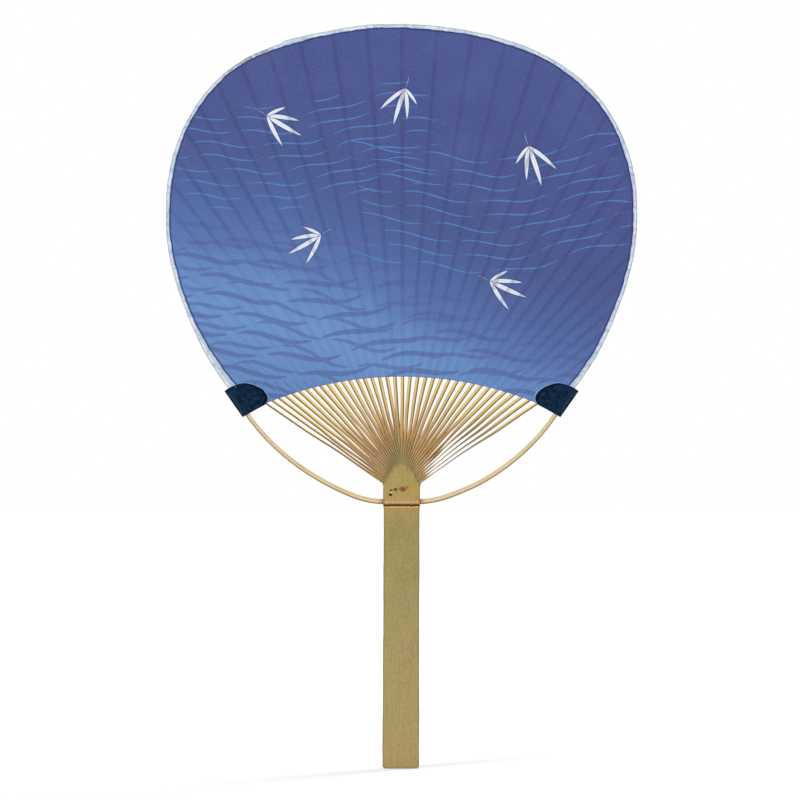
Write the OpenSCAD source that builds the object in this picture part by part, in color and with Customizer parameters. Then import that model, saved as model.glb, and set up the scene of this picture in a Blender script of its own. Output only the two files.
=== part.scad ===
// Round uchiwa fan with a flat bamboo handle.
// One strip of bamboo makes the handle, and its upper part is split into thin ribs. A bow through
// the node of the strip holds the ribs open, a thread is woven across them, and two sheets of
// paper, a strip round the rim and two folded ear patches cover them.
// The fan stands in the XZ plane and its printed face looks towards -Y. The origin is the centre
// of the grip, on the middle plane, half way from the end of the handle to the hole of the bow.

/* [Handle] */
// Width of the bamboo strip
handle_w = 18.9; // [15:0.1:24]
// Thickness of the strip along its middle
handle_t = 4.8; // [4.4:0.1:7]
// Radius of the bamboo's outer skin, which is the front of the strip
skin_r = 55; // [48:1:90]
// Distance from the end of the handle up to the hole of the bow
hole_height = 138.5; // [110:0.5:170]
// Bevel along the two planed edges of the back
edge_bevel = 0.5; // [0.2:0.1:0.9]
// Radius of the two corners at the end of the handle
end_corner_r = 1.2; // [0.4:0.1:3]
// How far the ridge of the node stands out of the skin
node_ridge = 0.4; // [0.1:0.05:0.8]
// Height of the ridge along the handle
node_ridge_h = 3.4; // [2:0.1:6]
// Depth of the scar line under the ridge
scar_depth = 0.15; // [0.05:0.01:0.3]

/* [Neck and tongue] */
// Distance from the hole up to the foot of the tongue, where the outermost ribs leave
tongue_foot = 9.3; // [8:0.1:14]
// Height of the tongue of uncut bamboo that stands between the ribs
tongue_h = 12.1; // [8:0.1:16]
// Roundness of the tongue: 1 is a triangle, and more is fuller
tongue_shape = 1.7; // [1.3:0.05:2.2]
// Distance from the hole up to where the back of the neck starts to thin
scoop_foot = 3; // [2.4:0.1:5]

/* [Ribs] */
// Number of ribs that the strip is split into, an odd number
rib_count = 37; // [31:2:41]
// Width of one rib, which stands on edge at its root
rib_w = 1.9; // [1.5:0.05:2.2]
// Thickness that the splitting knife takes from each rib
split_gap = 0.055; // [0.04:0.005:0.09]
// Share of the way to the thread at which a rib has turned flat
flat_at = 0.62; // [0.5:0.01:0.8]
// How much closer the ribs of the left half stand than those of the right half
spread_skew = 0.05; // [0:0.01:0.08]
// Angle from the middle to the outermost ribs, about the centre of the paper's lower edge
spread_angle = 22.7; // [18:0.1:24]

/* [Face] */
// Distance from the hole up to the top of the face
face_top = 248.2; // [230:0.5:270]
// Radius of the crown of the face
crown_r = 204; // [185:1:230]
// Angle at which the crown passes into the shoulder
crown_angle = 17.5; // [12:0.1:22]
// Radius of the shoulders
shoulder_r = 87; // [78:0.5:95]
// Angle at which the shoulder passes into the flank
shoulder_angle = 86.6; // [80:0.1:92]
// Radius of the flanks
flank_r = 150; // [135:1:170]
// Angle at which the flank ends under the ear
flank_angle = 128; // [122:0.5:131]

/* [Lower edge of the paper] */
// Distance from the hole up to the top of the paper's lower edge
crescent_top = 65; // [58:0.5:72]
// Radius of the paper's lower edge
crescent_r = 186; // [170:1:210]

/* [Paper and thread] */
// Thickness of each sheet of paper
paper_t = 0.15; // [0.1:0.01:0.25]
// Diameter of the woven thread
thread_d = 0.32; // [0.24:0.02:0.44]
// Distance from the paper's lower edge to the thread
thread_in = 2.2; // [2:0.1:4]
// Room between the thread and what it passes
thread_gap = 0.012; // [0.01:0.002:0.03]
// Turns of thread round each end of the bow
lashing_turns = 3; // [2:1:5]
// Thickness of the strip of paper that binds the rim
binding_t = 0.15; // [0.1:0.01:0.25]
// Width of the binding on each face
binding_w = 2.4; // [1.4:0.1:3.5]

/* [Bow] */
// Diameter of the bamboo bow where it passes through the handle
bow_d = 2.7; // [2.3:0.05:2.8]
// Diameter of the bow at its two ends
bow_tip_d = 2.3; // [2:0.05:2.4]
// Room round the bow in its hole
hole_gap = 0.05; // [0.02:0.01:0.1]
// Radius of the first bend, beside the handle
bend1_r = 45.5; // [40:0.5:52]
// Angle of the first bend
bend1_angle = 20.5; // [18:0.5:23]
// Radius of the long middle bend
bend2_r = 118; // [112:1:124]
// Angle of the middle bend
bend2_angle = 18; // [16:0.5:20]
// Radius of the last bend
bend3_r = 111; // [105:1:117]
// Angle of the last bend
bend3_angle = 16.5; // [15:0.5:18]
// Length of the straight end under the ear
tail_len = 12; // [9:0.5:12.5]

/* [Ears] */
// Thickness of the paper of the ear patches
ear_t = 0.15; // [0.1:0.01:0.25]
// Distance from the bow's end out to the fold of the ear
fold_gap = 2.8; // [2.5:0.1:4]
// Length of the fold
ear_len = 16.1; // [13:0.2:20]
// Distance from the fold in to the nose of the ear
ear_depth = 16.3; // [13:0.2:19]
// How far the fold starts beyond the start of the bow's straight end
ear_start = 1.6; // [0.5:0.1:3]
// Room between the lashed bow and the ear round it
pocket_gap = 0.1; // [0.05:0.01:0.3]

/* [Hidden] */
function two(n) = n < 10 ? str("0", n) : str(n);
RIBS = [for (i = [1:rib_count]) str("rib_", two(i))];

margin = 1;
arc_fn = 256;
hole_fn = 32;

// Places along the handle and up the face
hole_z = hole_height / 2;
end_z = -hole_height / 2;
skin_y = skin_r - handle_t / 2;
foot_z = hole_z + tongue_foot;
tip_z = foot_z + tongue_h;
crescent_z = hole_z + crescent_top - crescent_r;
thread_r = crescent_r + thread_in;
crown_z = hole_z + face_top - crown_r;

// Ribs: the strip is split evenly, so a rib's thickness follows from the strip's width
pitch = handle_w / rib_count;
rib_t = pitch - split_gap;
middle = (rib_count - 1) / 2;
rib_end_room = 0.3;
root_turn = 2;
root_rise = 0.8;
twist_steps = 14;
rib_corners = [[-1, -1], [1, -1], [1, 1], [-1, 1]];

// Layers of the face, from the middle plane outwards
paper_y = rib_t / 2;
binding_y = paper_y + paper_t;
over_thread_y = paper_y + thread_d + 2 * thread_gap;
corner_room = 0.35;
corner_cut = rib_w / 2 + corner_room;
ear_over = 0.4;
ear_cut = corner_cut + ear_over;

// Raised band over the thread, measured in from the paper's lower edge
band_lip = 0.5;
band_ramp = 0.7;
band_half = thread_in - band_lip - band_ramp;
band_in = thread_in + band_half + band_ramp;
band_beyond = 4;

function lerp(a, b, t) = a + (b - a) * t;
function smooth(t) = t <= 0 ? 0 : t >= 1 ? 1 : t * t * (3 - 2 * t);
function unit(v) = v / norm(v);
function polar(r, a) = [r * sin(a), r * cos(a)];
function bezier(p, t) =
    pow(1 - t, 3) * p[0] + 3 * pow(1 - t, 2) * t * p[1] + 3 * (1 - t) * t * t * p[2] + pow(t, 3) * p[3];

// Outline of the face: three arcs on each side that run into each other, as [x, z]
crown_steps = 6;
shoulder_steps = 22;
flank_steps = 14;
function shoulder_centre() = [0, crown_z] + polar(crown_r - shoulder_r, crown_angle);
function flank_centre() = shoulder_centre() + polar(shoulder_r - flank_r, shoulder_angle);
function outline_half(inset) = concat(
    [for (k = [0:crown_steps])
        [0, crown_z] + polar(crown_r - inset, crown_angle * k / crown_steps)],
    [for (k = [1:shoulder_steps])
        shoulder_centre() + polar(shoulder_r - inset, lerp(crown_angle, shoulder_angle, k / shoulder_steps))],
    [for (k = [1:flank_steps])
        flank_centre() + polar(flank_r - inset, lerp(shoulder_angle, flank_angle, k / flank_steps))]
);
function flipped(points) = [for (k = [len(points) - 1:-1:1]) [-points[k][0], points[k][1]]];
function outline(inset) = concat(flipped(outline_half(inset)), outline_half(inset));

// Whether a point of the right half is inside the outline, by the arc whose sector holds it
function heading(p) = atan2(p[0], p[1]);
function inside(p, inset) =
    heading(p - [0, crown_z]) <= crown_angle ? norm(p - [0, crown_z]) < crown_r - inset
    : heading(p - shoulder_centre()) <= shoulder_angle ? norm(p - shoulder_centre()) < shoulder_r - inset
    : norm(p - flank_centre()) < flank_r - inset;
// Distance from a point inside, along a direction, to the outline, found by halving
farthest = 2 * crown_r;
halvings = 24;
function reach(p, d, inset, low = 0, high = farthest, n = halvings) =
    n == 0 ? low
    : let (m = (low + high) / 2, q = p + m * d)
      inside([abs(q[0]), q[1]], inset) ? reach(p, d, inset, m, high, n - 1) : reach(p, d, inset, low, m, n - 1);

// Roots of the ribs on the steps of the tongue, and the points where the thread crosses them
function root_x(i) = (i - middle) * pitch;
function root_z(i) = foot_z + tongue_h * (1 - pow(abs(root_x(i)) / (handle_w / 2), tongue_shape));
function root_y(i) = skin_y - sqrt(skin_r * skin_r - pow(root_x(i), 2)) + rib_w / 2;
function cross_angle(i) = let (u = (i - middle) / middle) spread_angle * (u + spread_skew * (u * u - 1));
function cross_point(i) = [0, crescent_z] + polar(thread_r, cross_angle(i));
function rib_root(i) = [root_x(i), root_z(i)];
function rib_dir(i) = unit(cross_point(i) - rib_root(i));
function across(d) = [d[1], -d[0]];

// One rib: stations from the root to the rim, each with four corners round the rib's centre line
function rib_twist(s, length) = 90 * (1 - smooth((s - root_turn) / (flat_at * length - root_turn)));
function corner_points(centre, y, n, half_w, half_t, turn) = [
    for (c = rib_corners)
        let (
            a = c[0] * half_w * cos(turn) - c[1] * half_t * sin(turn),
            b = c[0] * half_w * sin(turn) + c[1] * half_t * cos(turn)
        )
        [centre[0] + n[0] * a, y + b, centre[1] + n[1] * a]
];
function rib_end(i) = let (d = rib_dir(i), n = across(d)) [
    for (c = rib_corners)
        let (
            edge = rib_root(i) + n * c[0] * rib_w / 2,
            tip = edge + d * reach(edge, d, binding_t + rib_end_room)
        )
        [tip[0], c[1] * rib_t / 2, tip[1]]
];
function rib_stations(i) = let (d = rib_dir(i), length = norm(cross_point(i) - rib_root(i))) concat(
    [corner_points(rib_root(i), root_y(i), [1, 0], rib_w / 2, rib_t / 2, 90)],
    [for (k = [0:twist_steps])
        let (
            s = lerp(root_rise, flat_at * length, k / twist_steps),
            rest = 1 - smooth(s / (flat_at * length))
        )
        corner_points(
            rib_root(i) + s * d, root_y(i) * rest, across(d), rib_w / 2, rib_t / 2, rib_twist(s, length)
        )],
    [rib_end(i)]
);

// Faces of a tube through rings of points, all triangles
function tube_faces(rings, sides) = concat(
    [for (r = [0:rings - 2], k = [0:sides - 1])
        let (a = r * sides + k, b = r * sides + (k + 1) % sides) [a, a + sides, b]],
    [for (r = [0:rings - 2], k = [0:sides - 1])
        let (a = r * sides + k, b = r * sides + (k + 1) % sides) [b, a + sides, b + sides]],
    [for (k = [1:sides - 2]) [0, k, k + 1]],
    [for (k = [1:sides - 2]) let (o = (rings - 1) * sides) [o, o + k + 1, o + k]]
);
function joined(rings) = [for (ring = rings, p = ring) p];

// Bow: bends that run into each other, each as [start, heading, radius, angle]
bow_sides = 16;
bend_steps = 10;
function bend_point(b, t) =
    b[0] + b[2] * [sin(b[1] + b[3] * t) - sin(b[1]), cos(b[1]) - cos(b[1] + b[3] * t)];
function bend_end(b) = bend_point(b, 1);
bend1 = [[handle_w / 2, hole_z], 0, bend1_r, bend1_angle];
bend2 = [bend_end(bend1), bend1[1] + bend1[3], bend2_r, bend2_angle];
bend3 = [bend_end(bend2), bend2[1] + bend2[3], bend3_r, bend3_angle];
tail_start = bend_end(bend3);
tail_heading = bend3[1] + bend3[3];
tail_dir = [cos(tail_heading), sin(tail_heading)];
tail_in = [-sin(tail_heading), cos(tail_heading)];
function bow_half() = concat(
    [for (b = [bend1, bend2, bend3], k = [0:bend_steps - 1]) bend_point(b, k / bend_steps)],
    [tail_start, tail_start + tail_len * tail_dir]
);
function bow_path() = let (half = bow_half()) [
    for (p = concat([for (k = [len(half) - 1:-1:0]) [-half[k][0], half[k][1]]], half)) [p[0], 0, p[1]]
];
function bow_radii() = [
    for (p = bow_path())
        let (t = (abs(p[0]) - handle_w / 2) / (tail_start[0] - handle_w / 2))
        lerp(bow_d, bow_tip_d, max(0, min(1, t))) / 2
];

// Thread: over and under the ribs on one arc, then round the ends of the bow
thread_sides = 6;
thread_y = paper_y + thread_d / 2 + thread_gap;
lashing_pitch = 0.75;
lashing_steps = 16;
lashing_r = (bow_tip_d / 2 + thread_d / 2 + 2 * thread_gap) / cos(180 / lashing_steps);
lead_in = 0.6;
rib_side_room = 0.05;
side_room = asin((rib_w / 2 + thread_d / 2 + rib_side_room) / thread_r);
function on_arc(a, y) = [thread_r * sin(a), y, crescent_z + thread_r * cos(a)];
function side_of(i) = i % 2 == 0 ? 1 : -1;
least_slant = 0.5;
function slant(i) = 1 / max(least_slant, cos(heading(rib_dir(i)) - cross_angle(i)));
function woven() = [for (i = [0:rib_count - 1], k = [-1, 0, 1, 2])
    let (a = cross_angle(i), room = side_room * slant(i))
    if (k < 2) on_arc(a + k * room, side_of(i) * thread_y)
    else if (i < rib_count - 1) on_arc((a + cross_angle(i + 1)) / 2, 0)];
function lashing_start() = tail_len - lashing_pitch * lashing_turns - thread_d;
function round_tail(u, turn) =
    let (p = tail_start + u * tail_dir + lashing_r * cos(turn) * tail_in) [p[0], lashing_r * sin(turn), p[1]];
function in_plane(u, s) = let (p = tail_start + u * tail_dir + s * tail_in) [p[0], 0, p[1]];
function lashing(count) = concat(
    [on_arc(cross_angle(rib_count - 1) + 2 * side_room * slant(rib_count - 1), 0)],
    [in_plane(lashing_start(), lashing_r + 3 * lead_in)],
    [in_plane(lashing_start(), lashing_r + lead_in)],
    [for (k = [1:count * lashing_steps])
        round_tail(lashing_start() + lashing_pitch * k / lashing_steps, 360 * k / lashing_steps)]
);
function left_lashing() = let (
    first = on_arc(cross_angle(0) - 2 * side_room * slant(0), 0),
    turns = [for (p = lashing(lashing_turns)) [-p[0], p[1], p[2]]]
) [for (k = [len(turns) - 1:-1:0]) k == 0 ? first : turns[k]];
function thread_path() = concat(left_lashing(), woven(), lashing(lashing_turns));
function path_dir(path, k) = unit(path[min(k + 1, len(path) - 1)] - path[max(k - 1, 0)]);
upright = [0, 0.02, 1];
function ring_round(p, d, r, sides) = let (u = unit(cross(d, upright)), v = cross(d, u)) [
    for (k = [0:sides - 1]) p + r * (cos(360 * k / sides) * u + sin(360 * k / sides) * v)
];

// Ear: an outline in the bow's own directions, u along its straight end and s in towards the ribs.
// Each bend is a curve through shares of the ear's length and depth.
nose_steps = 10;
back_steps = 6;
function ear_at(along, deep) = [ear_start + along * ear_len, deep * ear_depth - fold_gap];
ear_nose = [ear_at(-0.09, 0.74), ear_at(-0.09, 1.06), ear_at(0.33, 1.1), ear_at(0.78, 0.71)];
ear_back = [ear_nose[3], ear_at(0.9, 0.61), ear_at(1.02, 0.26), ear_at(1, 0)];
function ear_outline() = concat(
    [ear_at(0, 0) - [0, margin], ear_at(0, 0)],
    [for (k = [0:nose_steps]) bezier(ear_nose, k / nose_steps)],
    [for (k = [1:back_steps]) bezier(ear_back, k / back_steps)],
    [ear_at(1, 0) - [0, margin]]
);

// Section of the ear across its fold: a pocket round the bow's end that closes on the paper
pocket_r = lashing_r + thread_d / 2 + pocket_gap;
closing_angle = 55;
pocket_steps = 6;
function pocket_half(r, level, far) = let (
    tip = r * fold_gap / (pocket_r + ear_t),
    open = acos((pocket_r + ear_t) / fold_gap),
    down = r * sin(closing_angle) - level,
    flat_s = r * cos(closing_angle) + down * tan(closing_angle)
) concat(
    [[-tip, 0]],
    [for (k = [0:pocket_steps])
        let (a = lerp(180 - open, closing_angle, k / pocket_steps)) r * [cos(a), sin(a)]],
    [[flat_s, level], [far, level]]
);
function mirrored_low(points) = [for (k = [len(points) - 1:-1:1]) [points[k][0], -points[k][1]]];
function pocket_loop(r, level, far) = let (h = pocket_half(r, level, far)) concat(h, mirrored_low(h));

// A drawing in x and z, made a sheet between two heights in front of the middle plane
module sheet(low, high) {
    rotate([90, 0, 0])
        translate([0, 0, low])
            linear_extrude(high - low)
                children();
}

module face_and_back() {
    children();
    mirror([0, 1, 0])
        children();
}

module in_ear() {
    translate([tail_start[0], tail_start[1]])
        rotate(tail_heading)
            children();
}

module ear_shape() {
    in_ear()
        polygon(ear_outline());
}

module both_ears() {
    ear_shape();
    mirror([1, 0])
        ear_shape();
}

// Everything above a line that runs beside an outermost rib, on the side of the handle
module above_line(i, distance) {
    d = rib_dir(i);
    out = across(d) * (i == 0 ? -1 : 1);
    far = 3 * crescent_r;
    foot = rib_root(i) + out * distance - d * far / 2;
    polygon([foot, foot + d * far, foot + (d - out) * far, foot - out * far]);
}

module between_lines(distance) {
    intersection() {
        above_line(0, distance);
        above_line(rib_count - 1, distance);
    }
}

module crescent_disc(r) {
    translate([0, crescent_z])
        circle(r, $fn = arc_fn);
}

module face_shape(inset) {
    points = outline(inset);
    polygon(concat(points, [[handle_w, foot_z], [-handle_w, foot_z]]));
}

// Section of the raised band, swept round the centre of the paper's lower edge
module raised_band(low, thickness, start) {
    under = [
        [start, 0],
        [band_lip, 0],
        [band_lip + band_ramp, over_thread_y - paper_y],
        [band_in - band_ramp, over_thread_y - paper_y],
        [band_in, 0],
        [band_in + band_lip, 0]
    ];
    rise = [for (p = under) [crescent_r + p[0], low + p[1]]];
    top = [for (k = [len(rise) - 1:-1:0]) rise[k] + [0, thickness]];
    translate([0, 0, crescent_z])
        rotate([90, 0, 0])
            rotate([0, 0, 90 - spread_angle - band_beyond])
                rotate_extrude(angle = 2 * (spread_angle + band_beyond), $fn = arc_fn)
                    polygon(concat(rise, top));
}

module strip_blank() {
    translate([0, 0, end_z])
        linear_extrude(tip_z - end_z)
            intersection() {
                translate([0, skin_y])
                    circle(skin_r, $fn = arc_fn);
                polygon([
                    [-handle_w / 2, -handle_t],
                    [handle_w / 2, -handle_t],
                    [handle_w / 2, handle_t / 2 - edge_bevel],
                    [handle_w / 2 - edge_bevel, handle_t / 2],
                    [-handle_w / 2 + edge_bevel, handle_t / 2],
                    [-handle_w / 2, handle_t / 2 - edge_bevel]
                ]);
            }
}

// Front view of the strip: round corners at its end, and one step for each rib on its tongue
module strip_front() {
    corner_steps = 5;
    corner = [
        for (k = [0:corner_steps])
            let (a = 90 * k / corner_steps)
            [handle_w / 2 - end_corner_r, end_z + end_corner_r] + end_corner_r * [sin(a), -cos(a)]
    ];
    steps = [
        for (i = [rib_count - 1:-1:0], side = [1, -1])
            [root_x(i) + side * pitch / 2, root_z(i)]
    ];
    other_corner = [for (k = [corner_steps:-1:0]) [-corner[k][0], corner[k][1]]];
    rotate([90, 0, 0])
        linear_extrude(2 * handle_t + 2 * node_ridge, center = true)
            polygon(concat(corner, steps, other_corner));
}

module node_ring() {
    swell_steps = 6;
    swell = [
        for (k = [0:swell_steps])
            let (t = k / swell_steps)
            [skin_r + node_ridge * pow(sin(180 * t), 2), hole_z + node_ridge_h * (t - 0.5)]
    ];
    intersection() {
        translate([0, skin_y, 0])
            rotate_extrude($fn = arc_fn)
                polygon(concat(
                    [[skin_r - margin, hole_z - node_ridge_h / 2]],
                    swell,
                    [[skin_r - margin, hole_z + node_ridge_h / 2]]
                ));
        translate([-handle_w / 2, -handle_t, hole_z - node_ridge_h])
            cube([handle_w, handle_t, 2 * node_ridge_h]);
    }
}

module scar_line() {
    scar_z = hole_z - node_ridge_h / 2;
    translate([0, skin_y, 0])
        rotate_extrude($fn = arc_fn)
            polygon([
                [skin_r - scar_depth, scar_z],
                [skin_r + scar_depth, scar_z - 2 * scar_depth],
                [skin_r + scar_depth, scar_z + 2 * scar_depth]
            ]);
}

// The back of the neck is thinned down to the width of the ribs, parallel to the skin
module neck_scoop() {
    ramp_room = 0.5;
    ramp = tongue_foot - scoop_foot - ramp_room;
    translate([0, skin_y, hole_z + scoop_foot]) {
        cylinder(h = ramp, r1 = skin_r - handle_t, r2 = skin_r - rib_w, $fn = arc_fn);
        translate([0, 0, ramp])
            cylinder(h = tip_z - foot_z + 2 * margin, r = skin_r - rib_w, $fn = arc_fn);
    }
}

module bow_hole() {
    translate([0, 0, hole_z])
        rotate([0, 90, 0])
            cylinder(h = handle_w + 2 * margin, d = bow_d + 2 * hole_gap, center = true, $fn = hole_fn);
}

module handle() {
    color("#b5a567")
        difference() {
            union() {
                intersection() {
                    strip_blank();
                    strip_front();
                }
                node_ring();
            }
            scar_line();
            neck_scoop();
            bow_hole();
        }
}

module rib(i) {
    stations = rib_stations(i);
    color("#d9b277")
        polyhedron(points = joined(stations), faces = tube_faces(len(stations), 4), convexity = 4);
}

module tube(path, radii, sides) {
    rings = [for (k = [0:len(path) - 1]) ring_round(path[k], path_dir(path, k), radii[k], sides)];
    polyhedron(points = joined(rings), faces = tube_faces(len(rings), sides), convexity = 8);
}

module bow() {
    color("#e6cf9c")
        tube(bow_path(), bow_radii(), bow_sides);
}

module thread() {
    color("#efe6cf")
        tube(thread_path(), [for (p = thread_path()) thread_d / 2], thread_sides);
}

module paper() {
    intersection() {
        union() {
            sheet(paper_y, paper_y + paper_t)
                difference() {
                    face_shape(binding_t);
                    crescent_disc(crescent_r + band_in + band_lip / 2);
                }
            raised_band(paper_y, paper_t, 0);
        }
        sheet(0, handle_t)
            difference() {
                face_shape(binding_t);
                difference() {
                    both_ears();
                    between_lines(corner_cut);
                }
            }
    }
}

module front_paper() {
    color("#5f79b8")
        paper();
}

module back_paper() {
    color("#dfe4e6")
        mirror([0, 1, 0])
            paper();
}

module rim_strip(inset) {
    difference() {
        polygon(concat(outline(0), [for (k = [len(outline(inset)) - 1:-1:0]) outline(inset)[k]]));
        both_ears();
    }
}

module rim_binding() {
    color("#d5dde6") {
        face_and_back()
            sheet(binding_y, binding_y + binding_t)
                rim_strip(binding_w);
        sheet(-binding_y - binding_t, binding_y + binding_t)
            rim_strip(binding_t);
    }
}

module ear() {
    far = ear_depth + margin;
    beyond = 3 * margin;
    difference() {
        intersection() {
            translate([tail_start[0], 0, tail_start[1]])
                rotate([90, 0, 0])
                    rotate([0, 0, tail_heading])
                        rotate([90, 0, 90])
                            translate([0, 0, -beyond])
                                linear_extrude(ear_len + ear_start + 2 * beyond)
                                    difference() {
                                        polygon(pocket_loop(pocket_r + ear_t, binding_y + ear_t, far));
                                        polygon(pocket_loop(pocket_r, binding_y, far + margin));
                                    }
            sheet(-handle_t, handle_t)
                ear_shape();
        }
        sheet(-handle_t, handle_t)
            intersection() {
                difference() {
                    crescent_disc(crescent_r + band_in);
                    crescent_disc(crescent_r + band_lip);
                }
                between_lines(ear_cut);
            }
    }
    intersection() {
        face_and_back()
            raised_band(binding_y, ear_t, band_lip / 2);
        sheet(-handle_t, handle_t)
            intersection() {
                ear_shape();
                between_lines(ear_cut);
            }
    }
}

module left_ear() {
    color("#12243f")
        mirror([1, 0, 0])
            ear();
}

module right_ear() {
    color("#12243f")
        ear();
}

handle();
for (i = [0:rib_count - 1])
    rib(i);
bow();
thread();
front_paper();
back_paper();
rim_binding();
left_ear();
right_ear();
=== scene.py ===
import math

import bpy
import numpy as np
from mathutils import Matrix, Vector


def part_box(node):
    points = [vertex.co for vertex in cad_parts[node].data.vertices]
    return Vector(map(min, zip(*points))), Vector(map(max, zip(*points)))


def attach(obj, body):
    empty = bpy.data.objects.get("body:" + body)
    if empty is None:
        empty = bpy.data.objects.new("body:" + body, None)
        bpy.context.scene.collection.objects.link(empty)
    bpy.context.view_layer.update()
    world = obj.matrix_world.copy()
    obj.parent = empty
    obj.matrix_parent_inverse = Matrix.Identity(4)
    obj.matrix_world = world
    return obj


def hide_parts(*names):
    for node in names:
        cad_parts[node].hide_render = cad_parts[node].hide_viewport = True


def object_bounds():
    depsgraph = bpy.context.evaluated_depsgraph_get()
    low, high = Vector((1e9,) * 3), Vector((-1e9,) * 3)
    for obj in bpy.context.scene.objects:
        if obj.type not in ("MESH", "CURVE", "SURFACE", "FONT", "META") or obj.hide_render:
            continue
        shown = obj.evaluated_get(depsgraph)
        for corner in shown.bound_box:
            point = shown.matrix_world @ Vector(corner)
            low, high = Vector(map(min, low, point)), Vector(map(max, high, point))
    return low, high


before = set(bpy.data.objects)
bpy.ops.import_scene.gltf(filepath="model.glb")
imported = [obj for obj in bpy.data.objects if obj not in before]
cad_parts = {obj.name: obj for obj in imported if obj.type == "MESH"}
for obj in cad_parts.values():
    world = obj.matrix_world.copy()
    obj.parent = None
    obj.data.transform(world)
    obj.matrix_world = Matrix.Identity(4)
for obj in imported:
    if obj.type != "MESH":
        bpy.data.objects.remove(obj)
cad_low, cad_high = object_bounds()

# Studio. The fan stands on the end of its handle over a pale floor, in soft light from both sides,
# and a long lens looks straight at the printed face. Lamps and the floor are set out in metres; every
# other length below is in millimetres, times MM where Blender takes it.
MM = 0.001
studio = bpy.context.scene
studio.view_settings.view_transform = "Standard"

picture_width = 416 * MM
camera_distance = 2600 * MM
picture_centre = Vector((-0.8 * MM, 0, 122.1 * MM))
lens = bpy.data.cameras.new("lens")
lens.sensor_width = 36
lens.lens = lens.sensor_width * camera_distance / picture_width
camera = bpy.data.objects.new("camera", lens)
camera.location = picture_centre - Vector((0, camera_distance, 0))
camera.rotation_euler = (math.radians(90), 0, 0)
studio.collection.objects.link(camera)
studio.camera = camera


def soft_lamp(name, place, watts, size):
    lamp = bpy.data.lights.new(name, "AREA")
    lamp.shape = "DISK"
    lamp.size = size
    lamp.energy = watts
    stand = bpy.data.objects.new(name, lamp)
    stand.location = place
    stand.rotation_euler = (picture_centre - stand.location).to_track_quat("-Z", "Y").to_euler()
    studio.collection.objects.link(stand)


for room_side, way in (("", 1), ("back_", -1)):
    soft_lamp(room_side + "key_lamp", Vector((-1.15 * way, -1.35 * way, 1.25)), 16.5, 0.7)
    soft_lamp(room_side + "fill_lamp", Vector((1.3 * way, -1.3 * way, 0.5)), 4, 1.2)


def wired(tree, kind, feeds, **settings):
    """A new node in a shader, with its settings made and its sockets joined up or filled in."""
    made = tree.nodes.new("ShaderNode" + kind)
    for name, setting in settings.items():
        setattr(made, name, setting)
    for name, fed in feeds.items():
        if isinstance(fed, bpy.types.NodeSocket):
            tree.links.new(fed, made.inputs[name])
        else:
            made.inputs[name].default_value = fed
    return made


def shows_white(tree):
    """1 for the rays that show what lies behind: from the camera, in gloss and through glass."""
    path = wired(tree, "LightPath", {})
    seen = path.outputs["Is Camera Ray"]
    for name in ("Is Glossy Ray", "Is Transmission Ray"):
        seen = wired(tree, "Math", {0: seen, 1: path.outputs[name]}, operation="MAXIMUM").outputs[0]
    return seen


room_light = 0.5
air = bpy.data.worlds.new("air")
air.use_nodes = True
air_level = wired(air.node_tree, "Mix", {"Factor": shows_white(air.node_tree), "A": room_light, "B": 1})
air_colour = air.node_tree.nodes["Background"]
air_colour.inputs["Color"].default_value = (1, 1, 1, 1)
air.node_tree.links.new(air_level.outputs["Result"], air_colour.inputs["Strength"])
studio.world = air

floor_shade = 0.86
fade_end = 1.8
glow_near, glow_far = 0.22, 0.62
floor_paint = bpy.data.materials.new("floor_paint")
floor_paint.use_nodes = True
paint = floor_paint.node_tree
matt = paint.nodes["Principled BSDF"]
matt.inputs["Base Color"].default_value = (floor_shade, floor_shade, floor_shade, 1)
matt.inputs["Roughness"].default_value = 0.9
matt.inputs["Specular IOR Level"].default_value = 0.1
floor_place = wired(paint, "TexCoord", {}).outputs["Object"]
floor_away = wired(paint, "VectorMath", {0: floor_place}, operation="LENGTH").outputs["Value"]
fade = {"Value": floor_away, "From Max": fade_end, "To Min": glow_near, "To Max": glow_far}
glow = wired(paint, "MapRange", fade, interpolation_type="SMOOTHSTEP").outputs["Result"]
lift = wired(paint, "Emission", {"Strength": glow}).outputs[0]
lifted = wired(paint, "AddShader", {0: matt.outputs[0], 1: lift}).outputs[0]
above = wired(paint, "MixShader", {0: shows_white(paint), 1: matt.outputs[0], 2: lifted}).outputs[0]
from_below = wired(paint, "NewGeometry", {}).outputs["Backfacing"]
nothing = wired(paint, "BsdfTransparent", {}).outputs[0]
floor_look = wired(paint, "MixShader", {0: from_below, 1: above, 2: nothing}).outputs[0]
paint.links.new(floor_look, paint.nodes["Material Output"].inputs["Surface"])

floor_half = 6
floor_gap = 0.2 * MM
floor_z = cad_low.z - floor_gap
floor_corners = [(x * floor_half, y * floor_half, floor_z) for x, y in ((-1, -1), (1, -1), (1, 1), (-1, 1))]
floor_mesh = bpy.data.meshes.new("floor")
floor_mesh.from_pydata(floor_corners, [], [(0, 1, 2, 3)])
floor_mesh.materials.append(floor_paint)
floor = bpy.data.objects.new("floor", floor_mesh)
studio.collection.objects.link(floor)

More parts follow.
